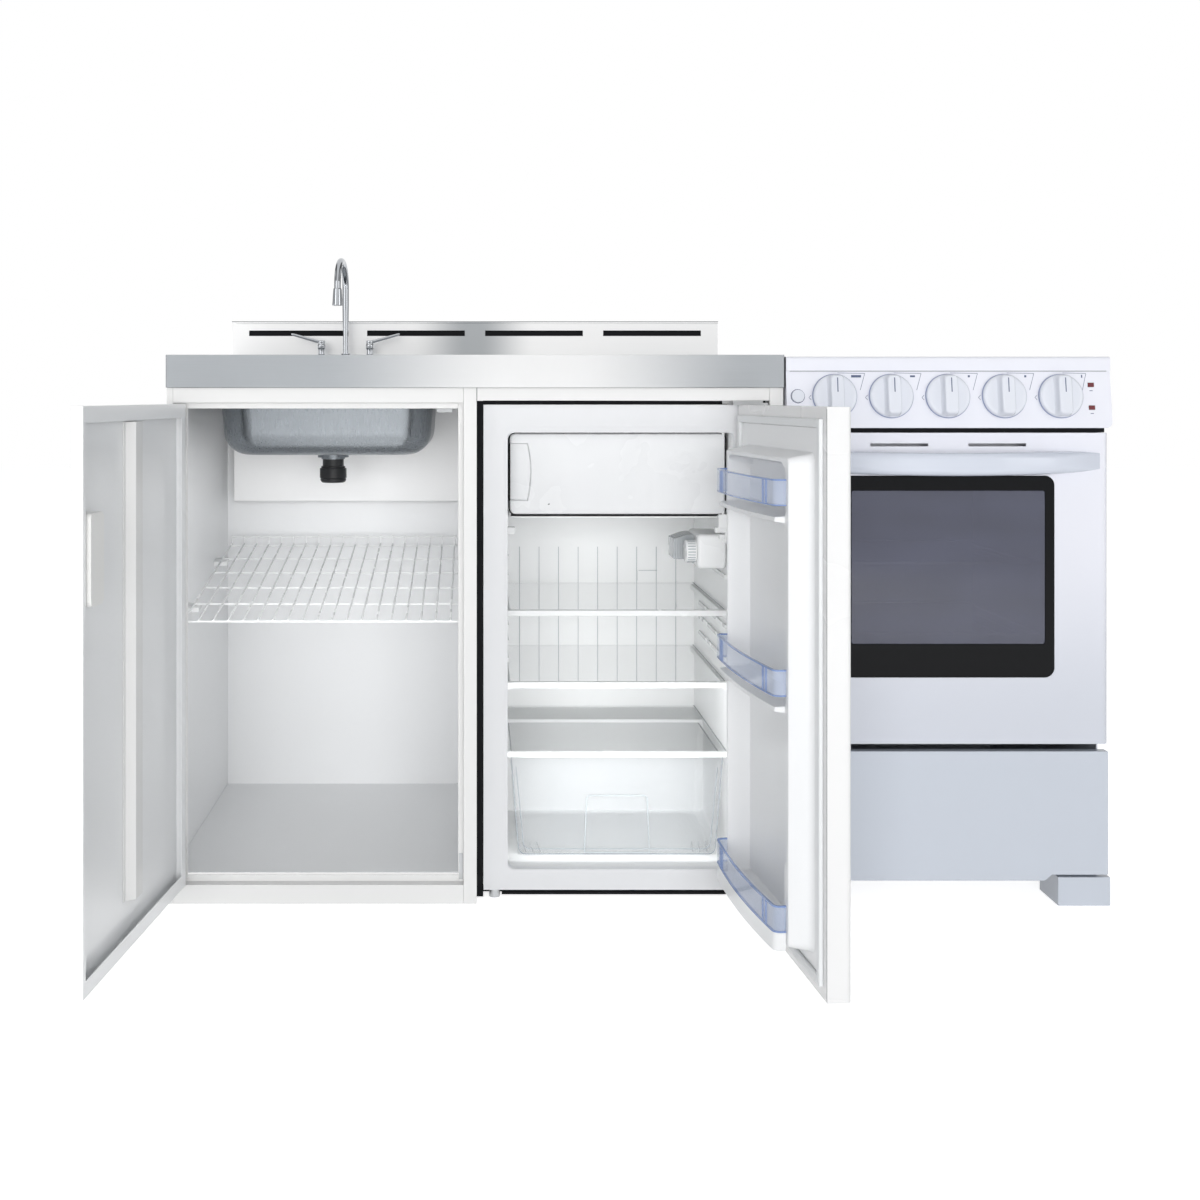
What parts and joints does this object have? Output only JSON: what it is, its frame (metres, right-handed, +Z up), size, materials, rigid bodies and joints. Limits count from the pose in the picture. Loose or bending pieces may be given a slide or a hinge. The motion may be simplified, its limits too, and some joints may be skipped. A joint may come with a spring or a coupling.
{
  "type": "kitchenette unit with sink and hob",
  "caption": "Kitchenette: a steel worktop with sink, faucet and backsplash over a cabinet and a refrigerator, both open, beside an electric range with glass hob, oven and drawer.",
  "frame": {"origin": "on the floor, in the wall plane behind the set, at the middle of its whole width", "axes": "+Z up, +Y towards the wall, so the fronts face -Y, and +X to the right seen from the front"},
  "size_m": [1.5522, 1.1027, 1.0915],
  "materials": {
    "worktop_steel": "brushed stainless",
    "bowl_steel": "satin stainless",
    "drain_black": "satin",
    "faucet_chrome": "polished",
    "cabinet_white": "satin powder coat",
    "cabinet_grey": "satin powder coat",
    "hinge_steel": "zinc plated",
    "pull_plastic": "satin",
    "fridge_white": "gloss paint",
    "liner_plastic": "satin",
    "shelf_glass": "clear",
    "crisper_plastic": "clear",
    "black_steel": "satin black",
    "gasket_rubber": "matte",
    "rail_plastic": "clear blue",
    "range_enamel": "gloss enamel",
    "cooktop_glass": "polished glass-ceramic",
    "element_metal": "satin",
    "lamp_red": "clear red",
    "switch_plastic": "matte",
    "knob_plastic": "gloss",
    "oven_enamel": "speckled enamel",
    "rack_wire": "bright wire",
    "window_glass": "dark"
  },
  "bodies": {
    "unit_and_range": {"countertop": "worktop_steel", "backsplash": "worktop_steel", "sink_bowl": "bowl_steel", "sink_strainer": "bowl_steel", "drain_tailpiece": "drain_black", "faucet_body": "faucet_chrome", "sink_bay_frame": "cabinet_white", "fridge_bay_frame": "cabinet_white", "side_panels": "cabinet_white", "partition_panel": "cabinet_grey", "cabinet_floor": "cabinet_grey", "cabinet_back": "cabinet_grey", "rear_apron": "cabinet_white", "wire_shelf": "cabinet_white", "frame_hinges_and_catches": "hinge_steel", "fridge_shell": "fridge_white", "fridge_liner": "liner_plastic", "freezer_box": "liner_plastic", "thermostat_housing": "liner_plastic", "crisper_cover": "shelf_glass", "fridge_hinges_and_feet": "black_steel", "cooling_unit": "black_steel", "range_shell": "range_enamel", "range_feet": "range_enamel", "cooktop_frame": "range_enamel", "cooktop_glass": "cooktop_glass", "heating_elements": "element_metal", "control_panel": "range_enamel", "indicator_lights": "lamp_red", "switch_bodies": "switch_plastic", "oven_liner": "oven_enamel", "oven_racks": "rack_wire", "drawer_runners": "hinge_steel"},
    "spout": {"faucet_spout": "faucet_chrome"},
    "left_lever": {"lever_left": "faucet_chrome"},
    "right_lever": {"lever_right": "faucet_chrome"},
    "cabinet_door": {"door_skin": "cabinet_white", "door_stiffener": "cabinet_white", "door_pull": "pull_plastic", "door_hinge_leaves": "hinge_steel"},
    "refrigerator_door": {"fridge_door_panel": "fridge_white", "fridge_door_liner": "liner_plastic", "door_gasket": "gasket_rubber", "door_rails": "rail_plastic"},
    "freezer_door": {"freezer_door": "liner_plastic"},
    "upper_shelf": {"fridge_shelf_upper": "shelf_glass"},
    "lower_shelf": {"fridge_shelf_lower": "shelf_glass"},
    "crisper": {"crisper_drawer": "crisper_plastic"},
    "thermostat": {"thermostat_dial": "liner_plastic"},
    "oven_door": {"oven_door_panel": "range_enamel", "oven_window": "window_glass", "oven_handle": "knob_plastic"},
    "drawer": {"storage_drawer": "range_enamel"},
    "knob_1": {"knob_1": "knob_plastic"},
    "knob_2": {"knob_2": "knob_plastic"},
    "knob_3": {"knob_3": "knob_plastic"},
    "knob_4": {"knob_4": "knob_plastic"},
    "knob_5": {"knob_5": "knob_plastic"},
    "button": {"light_button": "knob_plastic"}
  },
  "joints": [
    {"name": "cabinet_door_hinge", "type": "hinge", "parent": "unit_and_range", "child": "cabinet_door", "pos_m": [-0.75, -0.6365, 0.072], "axis": [0, 0, 1], "range_deg": [-14.5, 95.5]},
    {"name": "refrigerator_door_hinge", "type": "hinge", "parent": "unit_and_range", "child": "refrigerator_door", "pos_m": [0.187, -0.627, 0.013], "axis": [0, 0, -1], "range_deg": [-20, 95]},
    {"name": "freezer_door_hinge", "type": "hinge", "parent": "unit_and_range", "child": "freezer_door", "pos_m": [0.155, -0.532, 0.623], "axis": [0, 0, -1], "range_deg": [-55, 0]},
    {"name": "upper_shelf_slide", "type": "slide", "parent": "unit_and_range", "child": "upper_shelf", "axis": [0, 1, 0], "range_m": [-0.12, 0]},
    {"name": "lower_shelf_slide", "type": "slide", "parent": "unit_and_range", "child": "lower_shelf", "axis": [0, 1, 0], "range_m": [-0.12, 0]},
    {"name": "crisper_slide", "type": "slide", "parent": "unit_and_range", "child": "crisper", "axis": [0, 1, 0], "range_m": [-0.13, 0]},
    {"name": "thermostat_turn", "type": "hinge", "parent": "unit_and_range", "child": "thermostat", "pos_m": [0.1135, -0.501, 0.558], "axis": [1, 0, 0], "range_deg": [-150, 150]},
    {"name": "spout_swivel", "type": "hinge", "parent": "unit_and_range", "child": "spout", "pos_m": [-0.52, -0.08, 0.906], "axis": [0, 0, 1], "range_deg": [-86, 94]},
    {"name": "left_valve_turn", "type": "hinge", "parent": "unit_and_range", "child": "left_lever", "pos_m": [-0.568, -0.08, 0.919], "axis": [0, 0, 1], "range_deg": [0, 90]},
    {"name": "right_valve_turn", "type": "hinge", "parent": "unit_and_range", "child": "right_lever", "pos_m": [-0.472, -0.08, 0.919], "axis": [0, 0, -1], "range_deg": [0, 90]},
    {"name": "oven_door_hinge", "type": "hinge", "parent": "unit_and_range", "child": "oven_door", "pos_m": [0.5005, -0.616, 0.29], "axis": [1, 0, 0], "range_deg": [0, 90]},
    {"name": "drawer_slide", "type": "slide", "parent": "unit_and_range", "child": "drawer", "axis": [0, -1, 0], "range_m": [0, 0.3]},
    {"name": "knob_1_turn", "type": "hinge", "parent": "unit_and_range", "child": "knob_1", "pos_m": [0.316, -0.64335, 0.822], "axis": [0, -0.9916, 0.1293], "range_deg": [0, 300]},
    {"name": "knob_2_turn", "type": "hinge", "parent": "unit_and_range", "child": "knob_2", "pos_m": [0.407, -0.64335, 0.822], "axis": [0, -0.9916, 0.1293], "range_deg": [0, 300]},
    {"name": "knob_3_turn", "type": "hinge", "parent": "unit_and_range", "child": "knob_3", "pos_m": [0.498, -0.64335, 0.822], "axis": [0, -0.9916, 0.1293], "range_deg": [0, 300]},
    {"name": "knob_4_turn", "type": "hinge", "parent": "unit_and_range", "child": "knob_4", "pos_m": [0.589, -0.64335, 0.822], "axis": [0, -0.9916, 0.1293], "range_deg": [0, 300]},
    {"name": "knob_5_turn", "type": "hinge", "parent": "unit_and_range", "child": "knob_5", "pos_m": [0.68, -0.64335, 0.822], "axis": [0, -0.9916, 0.1293], "range_deg": [0, 300]},
    {"name": "button_press", "type": "slide", "parent": "unit_and_range", "child": "button", "axis": [0, 0.9916, -0.1293], "range_m": [0, 0.003], "stiffness_N_per_m": 300}
  ]
}
